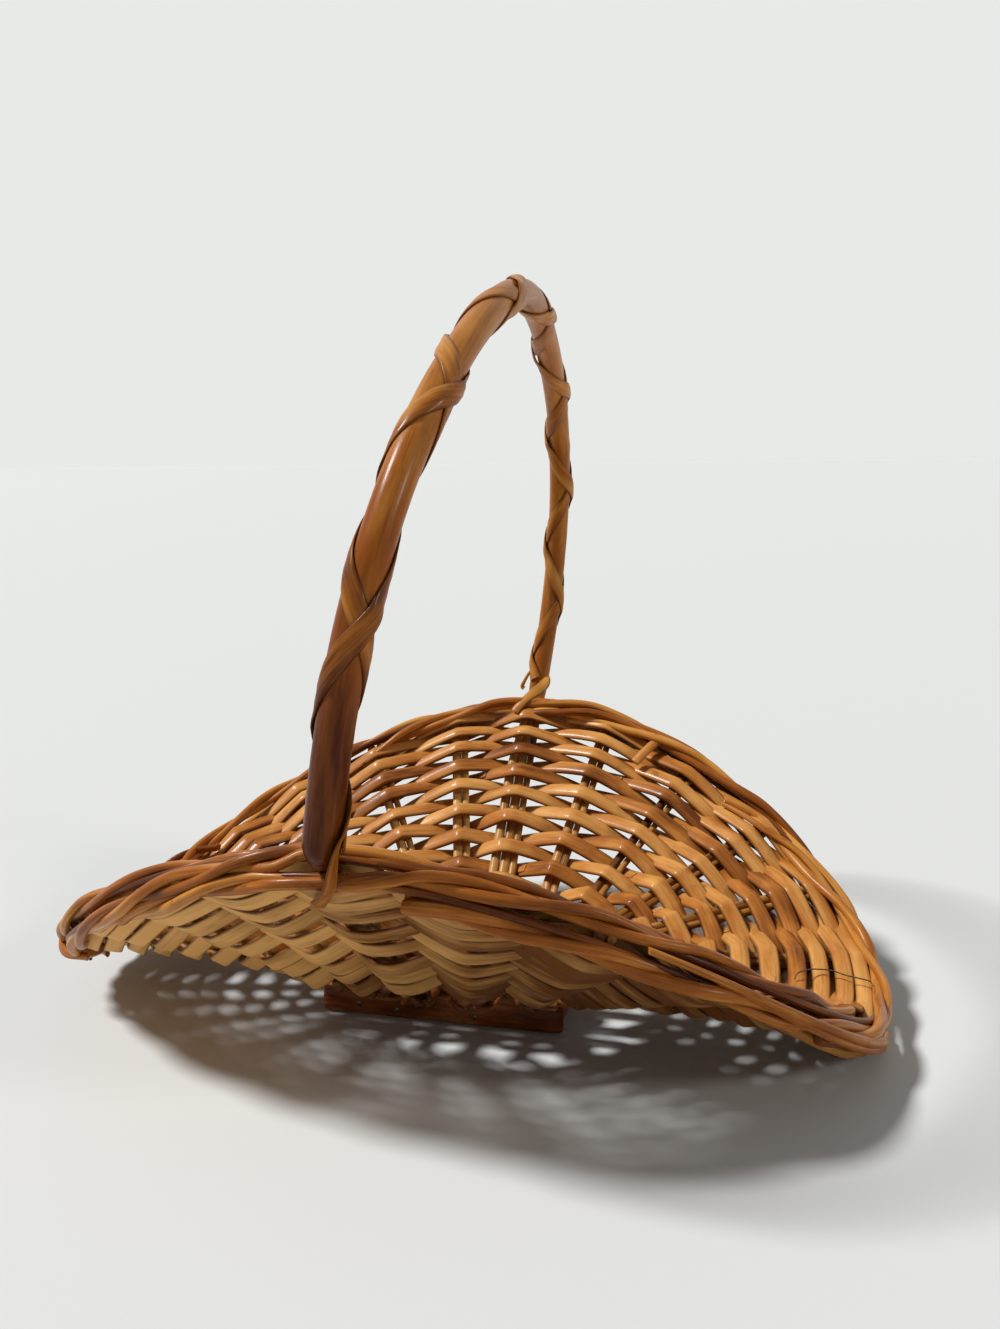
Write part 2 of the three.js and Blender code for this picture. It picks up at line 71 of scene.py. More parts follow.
def willow(name, dark, middle, light, pith=None, roughness=0.36, coat=0.09, streak_mm=1.1, speck=0.35,
           edge_mm=None, mottle=1.15, grain=0.45):
    """Varnished willow: fibre streaks run along each rod, every rod has its own tone, and dark buds and
    stains sit in the bark side. A split rod shows pale, drier pith on its flat side and dark edges."""
    stain_brown, edge_shade_brown = linear("#331505"), linear("#4a2209")
    strand_shift, strand_tone = 7.31, 0.36
    weigh, ease = {"operation": "MULTIPLY_ADD"}, {"interpolation_type": "SMOOTHSTEP"}
    colours = {"data_type": "RGBA"}
    material = bpy.data.materials.new(name)
    material.use_nodes = True
    tree = material.node_tree
    tree.nodes.clear()
    along, girth, strand, shade = [add(tree, "ShaderNodeAttribute", {"attribute_name": label})
                                   for label in ("along", "girth", "strand", "shade")]
    cross = add(tree, "ShaderNodeSeparateXYZ", _0=girth.outputs["Vector"])
    # Straightened rod space in metres: x along the rod, y and z across it, shifted per rod.
    shift = add(tree, "ShaderNodeMath", weigh, _0=strand.outputs["Fac"], _1=strand_shift,
                _2=along.outputs["Fac"])
    rod = add(tree, "ShaderNodeCombineXYZ", X=shift.outputs[0], Y=cross.outputs["X"], Z=cross.outputs["Y"])
    # Fibre streaks, slow patches of tone, and buds and scars, each by its length and width in mm.
    noises = []
    grains = ((40, streak_mm, 4.0, 0.6), (45, 10, 3.0, 0.55), (11, 4.5, 5.0, 0.7))
    for long_mm, wide_mm, detail, rugged in grains:
        space = add(tree, "ShaderNodeMapping", Vector=rod.outputs[0],
                    Scale=(1000 / long_mm, 1000 / wide_mm, 1000 / wide_mm))
        noise = add(tree, "ShaderNodeTexNoise", Vector=space.outputs[0], Scale=1.0, Detail=detail,
                    Roughness=rugged)
        noises.append(noise.outputs["Fac"])
    fibre, patch, specks = noises
    stain = add(tree, "ShaderNodeMapRange", ease, Value=specks, From_Min=0.58, From_Max=0.74, To_Max=speck)
    # Tone from 0 to 1: fibres, patches, the rod's own lightness and the shade along it together.
    tone = add(tree, "ShaderNodeMath", weigh, _0=fibre, _1=grain, _2=0.34 - 0.5 * grain - 0.5 * mottle)
    tone = add(tree, "ShaderNodeMath", weigh, _0=patch, _1=mottle, _2=tone.outputs[0])
    tone = add(tree, "ShaderNodeMath", weigh, _0=strand.outputs["Fac"], _1=strand_tone, _2=tone.outputs[0])
    tone = add(tree, "ShaderNodeMath", {"operation": "ADD"}, _0=tone.outputs[0], _1=shade.outputs["Fac"])
    ramp = add(tree, "ShaderNodeValToRGB", Fac=tone.outputs[0])
    stops = ramp.color_ramp.elements
    stops[0].position, stops[0].color = 0.15, linear(dark)
    stops[1].position, stops[1].color = 0.85, linear(light)
    stops.new(0.46).color = linear(middle)
    bark = add(tree, "ShaderNodeMix", colours, _0=stain.outputs[0], _6=ramp.outputs["Color"], _7=stain_brown)
    colour = bark.outputs[2]
    height = add(tree, "ShaderNodeMath", weigh, _0=specks, _1=0.8, _2=fibre)
    bump = add(tree, "ShaderNodeBump", Strength=0.3, Distance=0.0007, Height=height.outputs[0])
    rough = add(tree, "ShaderNodeMath", weigh, _0=specks, _1=0.3, _2=roughness - 0.15)
    if pith:
        # The flat side of a split is bare wood under thin varnish: paler, drier, with open fibres.
        flat_side = add(tree, "ShaderNodeMapRange", ease, Value=cross.outputs["Y"], From_Min=0.0002,
                        From_Max=-0.0006)
        pale = add(tree, "ShaderNodeValToRGB", Fac=tone.outputs[0])
        stops = pale.color_ramp.elements
        stops[0].position, stops[0].color = 0.12, linear(pith[0])
        stops[1].position, stops[1].color = 0.8, linear(pith[1])
        sides = add(tree, "ShaderNodeMix", colours, _0=flat_side.outputs[0], _6=colour,
                    _7=pale.outputs["Color"])
        colour = sides.outputs[2]
        rough = add(tree, "ShaderNodeMath", weigh, _0=flat_side.outputs[0], _1=0.26, _2=rough.outputs[0])
    if edge_mm:
        # The thin edges of a split go dark: partly more varnish, partly painted shade where splits meet and
        # lie over each other.
        half = add(tree, "ShaderNodeMath", {"operation": "ABSOLUTE"}, _0=cross.outputs["X"])
        edge = add(tree, "ShaderNodeMapRange", ease, Value=half.outputs[0], From_Min=edge_mm * 0.00072,
                   From_Max=edge_mm * 0.00102, To_Max=0.72)
        edged = add(tree, "ShaderNodeMix", colours, _0=edge.outputs[0], _6=colour, _7=edge_shade_brown)
        colour = edged.outputs[2]
    shader = add(tree, "ShaderNodeBsdfPrincipled", Base_Color=colour, Roughness=rough.outputs[0],
                 Normal=bump.outputs[0], IOR=1.5, Specular_IOR_Level=0.07, Coat_Weight=coat,
                 Coat_Roughness=0.15)
    add(tree, "ShaderNodeOutputMaterial", Surface=shader.outputs[0])
    return material


def sweep_tree():
    """Geometry Nodes tree that skins a round, flat or half-round section along polylines. The points carry
    section_scale, section_normal, strand and shade; the skin gets along and girth too, for its material."""
    tree = bpy.data.node_groups.new("willow_sweep", "GeometryNodeTree")
    inputs = [("Geometry", "Geometry")]
    inputs += [(label, "Float") for label in ("Half width", "Crown", "Belly", "Squareness", "Curl")]
    inputs += [("Sides", "Int"), ("Material", "Material")]
    for label, kind in inputs:
        tree.interface.new_socket(label, in_out="INPUT", socket_type="NodeSocket" + kind)
    tree.interface.new_socket("Geometry", in_out="OUTPUT", socket_type="NodeSocketGeometry")
    given = add(tree, "NodeGroupInput").outputs
    times, vector = {"operation": "MULTIPLY"}, {"data_type": "FLOAT_VECTOR"}
    # Section: a unit ring pressed to the half width, the crown above, the belly below, edges curled down.
    ring = add(tree, "GeometryNodeCurvePrimitiveCircle", Resolution=given["Sides"], Radius=1.0)
    place = add(tree, "GeometryNodeInputPosition")
    bare = add(tree, "ShaderNodeVectorMath", {"operation": "ABSOLUTE"}, _0=place.outputs[0])
    squared = add(tree, "ShaderNodeVectorMath", {"operation": "POWER"}, _0=bare.outputs[0],
                  _1=given["Squareness"])
    sign = add(tree, "ShaderNodeVectorMath", {"operation": "SIGN"}, _0=place.outputs[0])
    unit = add(tree, "ShaderNodeVectorMath", times, _0=squared.outputs[0], _1=sign.outputs[0])
    parts = add(tree, "ShaderNodeSeparateXYZ", _0=unit.outputs[0])
    above = add(tree, "ShaderNodeMath", {"operation": "GREATER_THAN"}, _0=parts.outputs["Y"], _1=0.0)
    depth = add(tree, "ShaderNodeMix", {"data_type": "FLOAT"}, _0=above.outputs[0], _2=given["Belly"],
                _3=given["Crown"])
    outline = add(tree, "ShaderNodeCombineXYZ", X=given["Half width"], Y=depth.outputs[0])
    edge = add(tree, "ShaderNodeMath", times, _0=parts.outputs["X"], _1=parts.outputs["X"])
    drop = add(tree, "ShaderNodeMath", times, _0=edge.outputs[0], _1=given["Curl"])
    curled = add(tree, "ShaderNodeCombineXYZ", Z=drop.outputs[0])
    pressed = add(tree, "ShaderNodeVectorMath", {"operation": "MULTIPLY_ADD"}, _0=unit.outputs[0],
                  _1=outline.outputs[0], _2=curled.outputs[0])
    kept = add(tree, "GeometryNodeStoreNamedAttribute", {"data_type": "FLOAT_VECTOR", "domain": "POINT"},
               Geometry=ring.outputs["Curve"], Name="girth", Value=pressed.outputs[0])
    # The sweep lays the section's X on the path normal, so the section is turned a quarter.
    girth = add(tree, "GeometryNodeInputNamedAttribute", vector, Name="girth")
    parts = add(tree, "ShaderNodeSeparateXYZ", _0=girth.outputs["Attribute"])
    rise = add(tree, "ShaderNodeMath", {"operation": "SUBTRACT"}, _0=parts.outputs["Y"],
               _1=parts.outputs["Z"])
    aside = add(tree, "ShaderNodeMath", times, _0=parts.outputs["X"], _1=-1.0)
    quarter = add(tree, "ShaderNodeCombineXYZ", X=rise.outputs[0], Y=aside.outputs[0])
    section = add(tree, "GeometryNodeSetPosition", Geometry=kept.outputs[0], Position=quarter.outputs[0])
    # Path: polylines to curves with their own normals.
    path = add(tree, "GeometryNodeMeshToCurve", Mesh=given["Geometry"])
    facing = add(tree, "GeometryNodeInputNamedAttribute", vector, Name="section_normal")
    turned = add(tree, "GeometryNodeSetCurveNormal", {"mode": "FREE"}, Curve=path.outputs[0],
                 Normal=facing.outputs["Attribute"])
    parameter = add(tree, "GeometryNodeSplineParameter")
    measured = add(tree, "GeometryNodeStoreNamedAttribute", {"data_type": "FLOAT", "domain": "POINT"},
                   Geometry=turned.outputs[0], Name="along", Value=parameter.outputs["Length"])
    thickness = add(tree, "GeometryNodeInputNamedAttribute", {"data_type": "FLOAT"}, Name="section_scale")
    skin = add(tree, "GeometryNodeCurveToMesh", Curve=measured.outputs[0], Profile_Curve=section.outputs[0],
               Scale=thickness.outputs["Attribute"], Fill_Caps=True)
    smooth = add(tree, "GeometryNodeSetShadeSmooth", Geometry=skin.outputs[0], Shade_Smooth=True)
    real = add(tree, "GeometryNodeRealizeInstances", Geometry=smooth.outputs[0])
    dressed = add(tree, "GeometryNodeSetMaterial", Geometry=real.outputs[0], Material=given["Material"])
    add(tree, "NodeGroupOutput", Geometry=dressed.outputs[0])
    return tree


rod_sweep = sweep_tree()


def store(mesh, **attributes):
    """Stores numbers or vectors on the points of a mesh, for the sweep and the materials to read."""
    for label, values in attributes.items():
        values = np.array(values, np.float32)
        kind, field = ("FLOAT", "value") if values.ndim == 1 else ("FLOAT_VECTOR", "vector")
        mesh.attributes.new(label, kind, "POINT").data.foreach_set(field, values.ravel())


def sweep(name, paths, material, half_width, crown=None, belly=None, sides=12, squareness=1.0, curl=0.0):
    """Skins a section along paths. Each path is (points, normals, scales, strand number, shade if any), and
    one normal, scale or shade may stand for a whole path. A round rod needs only its half width."""
    points, edges, normals, scales, strands, shades = [], [], [], [], [], []
    for path_points, path_normals, path_scales, strand, *shade in paths:
        start, count = len(points), len(path_points)
        points += [tuple(p) for p in path_points]
        normals += list(np.broadcast_to(path_normals, (count, 3)))
        scales += list(np.broadcast_to(path_scales, count))
        strands += [strand] * count
        shades += list(np.broadcast_to(shade[0] if shade else 0.0, count))
        edges += [(start + i, start + i + 1) for i in range(count - 1)]
    mesh = bpy.data.meshes.new(name + "_path")
    mesh.from_pydata(points, edges, [])
    store(mesh, section_normal=normals, section_scale=scales, strand=strands, shade=shades)
    piece = bpy.data.objects.new(name, mesh)
    bpy.context.scene.collection.objects.link(piece)
    modifier = piece.modifiers.new("sweep", "NODES")
    modifier.node_group = rod_sweep
    values = {"Half width": half_width, "Crown": crown or half_width, "Belly": belly or half_width,
              "Sides": sides, "Squareness": squareness, "Curl": curl, "Material": material}
    for item in rod_sweep.interface.items_tree:
        if item.item_type == "SOCKET" and item.in_out == "INPUT" and item.name in values:
            modifier[item.identifier] = values[item.name]
    evaluated = piece.evaluated_get(bpy.context.evaluated_depsgraph_get())
    baked = bpy.data.meshes.new_from_object(evaluated)
    piece.modifiers.remove(modifier)
    piece.data = baked
    baked.name = name
    return piece


def fit(piece, slot, *nodes):
    """Puts a finished piece on the basket: hides the parts it stands for and hangs it on the root body. The
    slot is not used.
    """
    if nodes:
        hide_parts(*nodes)
    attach(piece, "root")


def stick(start, end, strand, seed):
    """Path of a slightly uneven straight stick with eased ends."""
    eased = 0.004
    chance = random.Random(seed)
    start, end = np.array(start), np.array(end)
    length = np.linalg.norm(end - start)
    run = (end - start) / length
    end_stops = np.array([0, 0.0006, 0.0016, eased])
    middle_stops = np.linspace(2 * eased, length - 2 * eased, 14)
    stops = np.concatenate([end_stops, middle_stops, length - end_stops[::-1]])
    scale = 0.84 + 0.16 * np.clip(np.minimum(stops, length - stops) / eased, 0, 1) ** 0.5
    wave = np.array([chance.uniform(-0.0003, 0.0003) for _ in stops])
    points = start + stops[:, None] * run + wave[:, None] * np.cross((0, 0, 1), run)
    return points, (0, 0, 1), scale, strand


# Willow stick under old varnish: dark red-brown, with the grain showing as lighter streaks.
stick_dark = willow("dark_varnished_stick", "#34140a", "#7f401d", "#b57547", streak_mm=1.8, speck=0.6)
front_low, front_high = np.array(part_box("foot_bar_front"), float)
left_low, left_high = np.array(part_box("foot_bar_left"), float)
bar_half = 0.5 * (front_high[1] - front_low[1])
low, tall = 0.5 * front_high[2], 0.5 * left_high[2]
front_y = 0.5 * (front_low[1] + front_high[1])
left_x = 0.5 * (left_low[0] + left_high[0])
right_x = front_low[0] + front_high[0] - left_x
stick_raise = 0.0018
foot_sticks = (
    ("front", (front_low[0], front_y, low), (front_high[0], front_y, low), low + stick_raise),
    ("back", (front_low[0], -front_y, low), (front_high[0], -front_y, low), low + stick_raise),
    ("left", (left_x, left_low[1], tall), (left_x, left_high[1], tall), tall),
    ("right", (right_x, left_low[1], tall), (right_x, left_high[1], tall), tall),
)
for seed, (side, start, end, crown) in enumerate(foot_sticks, 1):
    piece = sweep(f"foot_stick_{side}", [stick(start, end, 0.3 + seed / 10, seed)], stick_dark,
                  bar_half, crown, start[2], sides=32, squareness=0.55)
    fit(piece, "foot_willow", f"foot_bar_{side}")


# The foot nails: steel pins with low domed heads, hammered into the front and back sticks to hold the frame.
# Each is made as its head, with a collar that goes 2 mm into the wood.
nail_radius = 0.0017
# Radius and how far it stands out, from the collar to the top of the dome.
nail_turning = ((nail_radius, -0.0020), (nail_radius, 0.0), (0.0014, 0.0003), (0.0008, 0.0005))
# Place along the stick, height, and whether it sits in the front (-1) or the back (1).
nail_places = ((-0.0531, 0.0075, -1), (-0.0300, 0.0058, -1), (0.0160, 0.0062, -1),
               (-0.0480, 0.0070, 1), (0.0040, 0.0062, 1), (0.0420, 0.0078, 1))
# Aged steel: dull dark grey, with brown rust blotches about 1.1 mm across.
rust_mm = 1.111
nail_steel = bpy.data.materials.new("aged_nail_steel")
nail_steel.use_nodes = True
nail_tree = nail_steel.node_tree
nail_tree.nodes.clear()
nail_place = add(nail_tree, "ShaderNodeTexCoord")
rust = add(nail_tree, "ShaderNodeTexNoise", Vector=nail_place.outputs["Object"], Scale=1000 / rust_mm,
           Detail=4.0)
nail_ramp = add(nail_tree, "ShaderNodeValToRGB", Fac=rust.outputs["Fac"])
nail_stops = nail_ramp.color_ramp.elements
nail_stops[0].position, nail_stops[0].color = 0.35, linear("#1f130b")
nail_stops[1].position, nail_stops[1].color = 0.65, linear("#5f594a")
nail_rough = add(nail_tree, "ShaderNodeMath", {"operation": "MULTIPLY_ADD"}, _0=rust.outputs["Fac"],
                 _1=0.4, _2=0.25)
nail_bump = add(nail_tree, "ShaderNodeBump", Strength=0.3, Distance=0.0002, Height=rust.outputs["Fac"])
nail_shader = add(nail_tree, "ShaderNodeBsdfPrincipled", Base_Color=nail_ramp.outputs["Color"], Metallic=0.7,
                  Roughness=nail_rough.outputs[0], Normal=nail_bump.outputs[0])
add(nail_tree, "ShaderNodeOutputMaterial", Surface=nail_shader.outputs[0])
paths = []
for x, z, way in nail_places:
    face_y = way * (abs(front_y) + bar_half)
    points = [(x, face_y + way * proud, z) for radius, proud in nail_turning]
    paths.append((points, (0, 0, 1), [radius / nail_radius for radius, proud in nail_turning], 0.5))
fit(sweep("foot_nails", paths, nail_steel, nail_radius, sides=16), "foot_willow")


# The ribs: pairs of peeled willow rods, one thick and one thin, that run from rim to rim through the base.
# They fan over the tray, cross in two layers on the short foot sticks and hold the weave apart.
rib_pairs, cross_pairs = 22, 5
rib_radius, side_rod_radius, rim_rod_radius, gap = 0.0032, 0.0023, 0.0035, 0.0003
tray_shift = 0.5 * (front_low[0] + front_high[0])
left_short = -2 * tray_shift
ring_half, ring_shift = (0.097, 0.076), 0.005
rim_half = (0.240, 0.190)
tip_height, side_height, left_lift = 0.0135, 0.138, 0.014
tip_power, flank_power, rise_power = 1.13, 0.889, 1.7
layer_lift = rib_radius + gap / 2
base_height = left_high[2] + gap + rib_radius + layer_lift
group_half = rib_radius + side_rod_radius + gap / 2
rib_offset, side_rod_offset = group_half - rib_radius, side_rod_radius - group_half
rod_end = -0.0015
cross_turns = [math.pi / 2 - (k - cross_pairs // 2) * 2 * math.pi / rib_pairs for k in range(cross_pairs)]
long_turns = [math.radians(a) for a in (-42.0, -28.0, -11.2, 11.2, 28.0, 42.0)]


def tray(u, t):
    """Middle surface of the tray wall: u is 0 on the base ring and 1 on the rim, t goes round."""
    c, s = math.cos(t), math.sin(t)
    tip = tip_height + left_lift * ((1 - c) / 2) ** 2
    rim_z = tip + (side_height - tip) * abs(s) ** rise_power
    shorter = left_short if c < 0 else 0.0
    ring_x, ring_y = ring_shift + (ring_half[0] - shorter / 2) * c, ring_half[1] * s
    rim_x = (rim_half[0] - shorter) * math.copysign(abs(c) ** tip_power, c)
    rim_y = rim_half[1] * math.copysign(abs(s) ** flank_power, s)
    return np.array([tray_shift + ring_x + u * (rim_x - ring_x), ring_y + u * (rim_y - ring_y),
                     base_height + (rim_z - base_height) * max(u, 0.0)])


def unit_vector(v):
    return v / np.linalg.norm(v)


def tray_frame(u, t):
    """Directions at a wall point: round the tray, out along the wall, inward normal, and across a rib."""
    step = 0.004
    low_u = max(u - step, 0.0005)
    around = unit_vector(tray(u, t + step) - tray(u, t - step))
    climb = tray(low_u + 2 * step, t) - tray(low_u, t)
    out = unit_vector(climb - around * climb.dot(around))
    normal = np.cross(out, around)
    if normal[2] < 0:
        normal = -normal
    beside = unit_vector(np.cross(normal, unit_vector(climb)))
    if beside.dot(around) < 0:
        beside = -beside
    return around, out, normal, beside


def smooth_line(points, count):
    """Even points on a smooth curve through the given ones."""
    points = np.array(points, float)
    full = np.vstack([2 * points[0] - points[1], points, 2 * points[-1] - points[-2]])
    line = []
    for i in range(len(points) - 1):
        a, b, c, d = full[i:i + 4]
        for f in np.linspace(0, 1, 12, endpoint=False):
            line.append(0.5 * (2 * b + (c - a) * f + (2 * a - 5 * b + 4 * c - d) * f * f
                               + (3 * b - a - 3 * c + d) * f ** 3))
    line = np.array(line + [points[-1]])
    reach = np.concatenate([[0], np.cumsum(np.linalg.norm(np.diff(line, axis=0), axis=1))])
    even = np.linspace(0, reach[-1], count)
    return np.stack([np.interp(even, reach, line[:, k]) for k in range(points.shape[1])], -1)


def through_rod(t_start, t_end, offset, lift, top):
    """Corner points of a rod down one wall, across the base and up the mirrored wall."""
    wall_stops, ring_stop = (1.0, 0.82, 0.64, 0.46, 0.30, 0.18, 0.09, 0.055), 0.012
    halves = []
    for t, shift in ((t_start, offset), (t_end, -offset)):
        half = []
        for u in wall_stops:
            _, out, _, beside = tray_frame(u, t)
            half.append(tray(u, t) + beside * shift + out * (top if u == 1.0 else 0.0))
        wall_side = tray_frame(ring_stop, t)[3]
        flat = np.array([1.0, 0, 0]) if lift > 0 else np.array([0, 1.0, 0])
        if flat.dot(wall_side) < 0:
            flat = -flat
        middle = unit_vector(flat + wall_side)
        ring = tray(ring_stop, t) + middle * shift / middle.dot(flat)
        ring[2] = base_height + lift
        half.append(ring)
        halves.append(half)
    return halves[0] + halves[1][::-1]


def natural_rod(corners, strand, seed, count=100):
    """A grown rod: thicker at its butt, uneven at the buds."""
    chance = random.Random(seed)
    run = np.linspace(0, 1, count)
    scale = 1.06 - 0.10 * run
    for k in (5, 9, 15):
        scale += chance.uniform(0.01, 0.03) * np.sin(run * math.pi * k + chance.uniform(0, 6))
    for _ in range(6):
        scale += 0.10 * np.exp(-((run - chance.random()) / 0.008) ** 2)
    points = smooth_line(corners, count)
    x, y, z = points.T
    # Painted shade in the corner above the front foot stick, where the weave above keeps the light off the
    # rods.
    painted_corner_shade = np.clip((-y - 0.050) / 0.02, 0, 1) * np.clip((0.062 - z) / 0.02, 0, 1)
    # The rods are browner towards the right tip.
    browner = np.clip((x - 0.030) / 0.05, 0, 1)
    return points, (0.0, 0.12, 1.0), scale, strand, -0.5 * painted_corner_shade - 0.22 * browner


# Peeled willow rod: warm brown under clear varnish, blotched, with dark buds.
rib_willow = willow("peeled_willow_rod", "#5c3212", "#ad7637", "#dbb06c", speck=0.6)
for kind, radius, offset in (
    ("rib", rib_radius, rib_offset),
    ("side_rod", side_rod_radius, side_rod_offset),
):
    rods = []
    for k, t in enumerate(cross_turns):
        # The middle pair stops lower, under the foot of the handle.
        top = -rim_rod_radius - 2 * gap if k == cross_pairs // 2 else rod_end
        corners = through_rod(t, -t, offset, layer_lift, top)
        rods.append((f"{kind}_cross_{k + 1}", natural_rod(corners, (k * 0.37 + radius * 190) % 1, k + 10)))
    for k, t in enumerate(long_turns):
        corners = through_rod(t, math.pi - t, offset, -layer_lift, rod_end)
        rods.append((f"{kind}_long_{k + 1}", natural_rod(corners, (k * 0.61 + radius * 170) % 1, k + 30)))
    for node, rod in rods:
        fit(sweep(node + "_willow", [rod], rib_willow, radius), "rib_willow", node)


# The weave: rows of willow split in half, round glossy bark side in, flat pale pith side out.
# Each row goes over one rib pair and under the next, opposite to its neighbours, and kinks at every pair.
rows, steps_per_gap, tail_steps = 16, 16, 6
first_row, last_row, crowding = 0.1, 0.954, 0.38
row_lift, low_row_lift, lap_lift = 0.0072, 0.0078, 0.0013
split_half, split_crown, split_belly = 0.0050, 0.0023, 0.0008
hand_stray, front_packing = 0.011, 0.12
rib_grip, tongue_grip = 0.0009, 0.0068
rib_ends = [t for a in cross_turns for t in (a, -a)] + [t for a in long_turns for t in (a, math.pi - a)]
rib_turns = sorted((t - math.pi / 2) % (2 * math.pi) + math.pi / 2 for t in rib_ends)


def weaver_path(row):
    """Over-and-under path of one row, uneven as hand work is. Both ends hide outside one rib pair."""
    chance = random.Random(700 + row)
    share = row / (rows - 1)
    row_u = first_row + (last_row - first_row) * share * (1 + crowding * (1 - share))
    start, total = 16 + 2 * ((row * 3) % 7) + (1 - row % 2), rib_pairs * steps_per_gap
    on_base = row < -1
    if on_base:
        # The row on the flat of the base stays open in front, above the foot.
        start, total = 15, 14 * steps_per_gap
    lift = row_lift if row > 0 else low_row_lift
    strays = [chance.uniform(-1, 1) for _ in range(rib_pairs)]
    presses = [chance.uniform(0.9, 1.2) for _ in range(rib_pairs)]
    leans = [-0.06 + 0.13 * math.sin(t) + chance.uniform(-0.13, 0.13) for t in rib_turns]
    swells = [chance.uniform(0.92, 1.10) for _ in range(rib_pairs)]
    hand = np.array([strays, presses, leans, swells])
    points, normals, scales, shade = [], [], [], []
    for i in range(-tail_steps, total + tail_steps + 1):
        place = start + i / steps_per_gap
        rib = math.floor(place + 1e-9)
        f = place - rib
        a, b = rib % rib_pairs, (rib + 1) % rib_pairs
        t_next = rib_turns[b] + (2 * math.pi if b == 0 else 0.0)
        t = rib_turns[a] + f * (t_next - rib_turns[a])
        front = max(0.0, -math.sin(t))
        ease = f * f * (3 - 2 * f)
        stray, press, lean, swell = hand[:, a] * (1 - ease) + hand[:, b] * ease
        # In front the first rows are packed up against the next ones, clear of the foot.
        u = row_u + hand_stray * stray + front_packing * max(0.0, 1 - row / 3.5) * front ** 1.2
        _, out, normal, _ = tray_frame(u, t)
        if on_base:
            out, normal = unit_vector(out * (1, 1, 0)), np.array([0.0, 0.0, 1.0])
        # A rib keeps the split up over its own width; the handle tongue beside the middle ribs, for longer.
        spacing = np.linalg.norm(tray(u, t_next) - tray(u, rib_turns[a]))
        hold, wide = min(0.24, rib_grip / spacing), min(0.42, tongue_grip / spacing)
        before = wide if abs(math.sin(rib_turns[a]) - 1) < 1e-6 else hold
        after = wide if abs(math.sin(rib_turns[b]) + 1) < 1e-6 else hold
        g = min(max((f - before) / (1 - before - after), 0.0), 1.0)
        rounded = 0.66 * front
        swing = 1 - 2 * ((1 - rounded) * g + rounded * g * g * (3 - 2 * g))
        side = 1 if (a + row) % 2 == 0 else -1
        # Where the two ends of a row lap, one lies outside the other, and both get thinner.
        from_end = min(i + tail_steps, total + tail_steps - i) / steps_per_gap
        lap = lap_lift * max(0.0, 1 - from_end / 1.2) * (1 if i < total / 2 else -1)
        thinned = 1 - 0.45 * max(0.0, 1 - from_end / 0.35)
        points.append(tray(u, t) + normal * (side * swing * lift * press + lap))
        normals.append(unit_vector(normal + out * lean))
        scales.append((1.10 - 0.20 * share) * (1 + 0.12 * math.cos(t) ** 2) * swell * thinned)
        # Painted light and shade on the near wall: lighter on its left and darker on its right, as the light
        # falls; the two base rows are painted dark as the shade in front, above the foot.
        shade.append((-0.70 * math.cos(t) - (0.08 if row >= 0 else 0.40)) * front)
    return points, normals, scales, chance.random(), shade


# Split willow: glossy amber bark with dark edges on the round side, dry pale pith on the flat side.
split_willow = willow("split_willow", "#683513", "#ae6c2d", "#d9a059", pith=("#6c3e17", "#dba560"),
                      speck=0.5, coat=0.14, edge_mm=5.0)
for row in range(rows):
    piece = sweep(f"weaver_row_{row + 1:02d}_split", [weaver_path(row)], split_willow,
                  split_half, split_crown, split_belly, sides=14, squareness=0.75)
    fit(piece, "weaver_willow", f"weaver_row_{row + 1:02d}")
# Two more rows close the base: one at the foot of the wall and one on the flat.
piece = sweep("base_ring_splits", [weaver_path(-1), weaver_path(-2)], split_willow,
              split_half, split_crown, split_belly, sides=14, squareness=0.75)
fit(piece, "weaver_willow")


# Base weavers: splits laid in the lanes between the long rods, over and under the cross rods.
# A wide lane holds two or three splits side by side, all of the same split willow.
base_lanes, lane_split, lane_height = 5, 0.008, base_height + layer_lift
cross_x = [tray(0, t)[0] for t in cross_turns]
for lane in range(base_lanes):
    lane_low, lane_high = np.array(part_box(f"base_weaver_{lane + 1}"), float)
    lane_width = float(lane_high[1] - lane_low[1])
    strips = max(1, round(lane_width / lane_split))
    half = 0.5 * lane_width / strips
    paths = []
    for n in range(strips):
        y = lane_low[1] + half * (2 * n + 1)
        points = []
        for x in np.linspace(lane_low[0], lane_high[0], 110):
            place = float(np.interp(x, cross_x, range(cross_pairs)))
            k = min(int(place), cross_pairs - 2)
            g = min(max((place - k - 0.22) / 0.56, 0.0), 1.0)
            side = 1 if (k + lane + n) % 2 == 0 else -1
            points.append((x, y, lane_height + side * row_lift * (1 - 2 * g * g * (3 - 2 * g))))
        paths.append((points, (0, 0, 1), 1.0, (lane * 0.29 + n * 0.4) % 1))
    if lane == 0:
        front_line, front_edge = paths[0][0], lane_low[1]
    piece = sweep(f"base_split_{lane + 1}", paths, split_willow, half, crown=0.0024, belly=0.0012, sides=14,
                  squareness=0.8)
    fit(piece, "weaver_willow", f"base_weaver_{lane + 1}")
# Two more splits close the base in front of the outermost long rods, painted dark as shade under the wall.
paths = []
for step, way in ((0.0150, -1), (0.0232, 1)):
    points = [(x, front_edge - step, lane_height + way * (z - lane_height)) for x, _, z in front_line]
    paths.append((points, (0, 0, 1), 1.0, 0.3, -0.25))
piece = sweep("base_front_splits", paths, split_willow, half_width=0.0040, crown=0.0022, belly=0.0010,
              sides=14, squareness=0.8)
fit(piece, "weaver_willow")


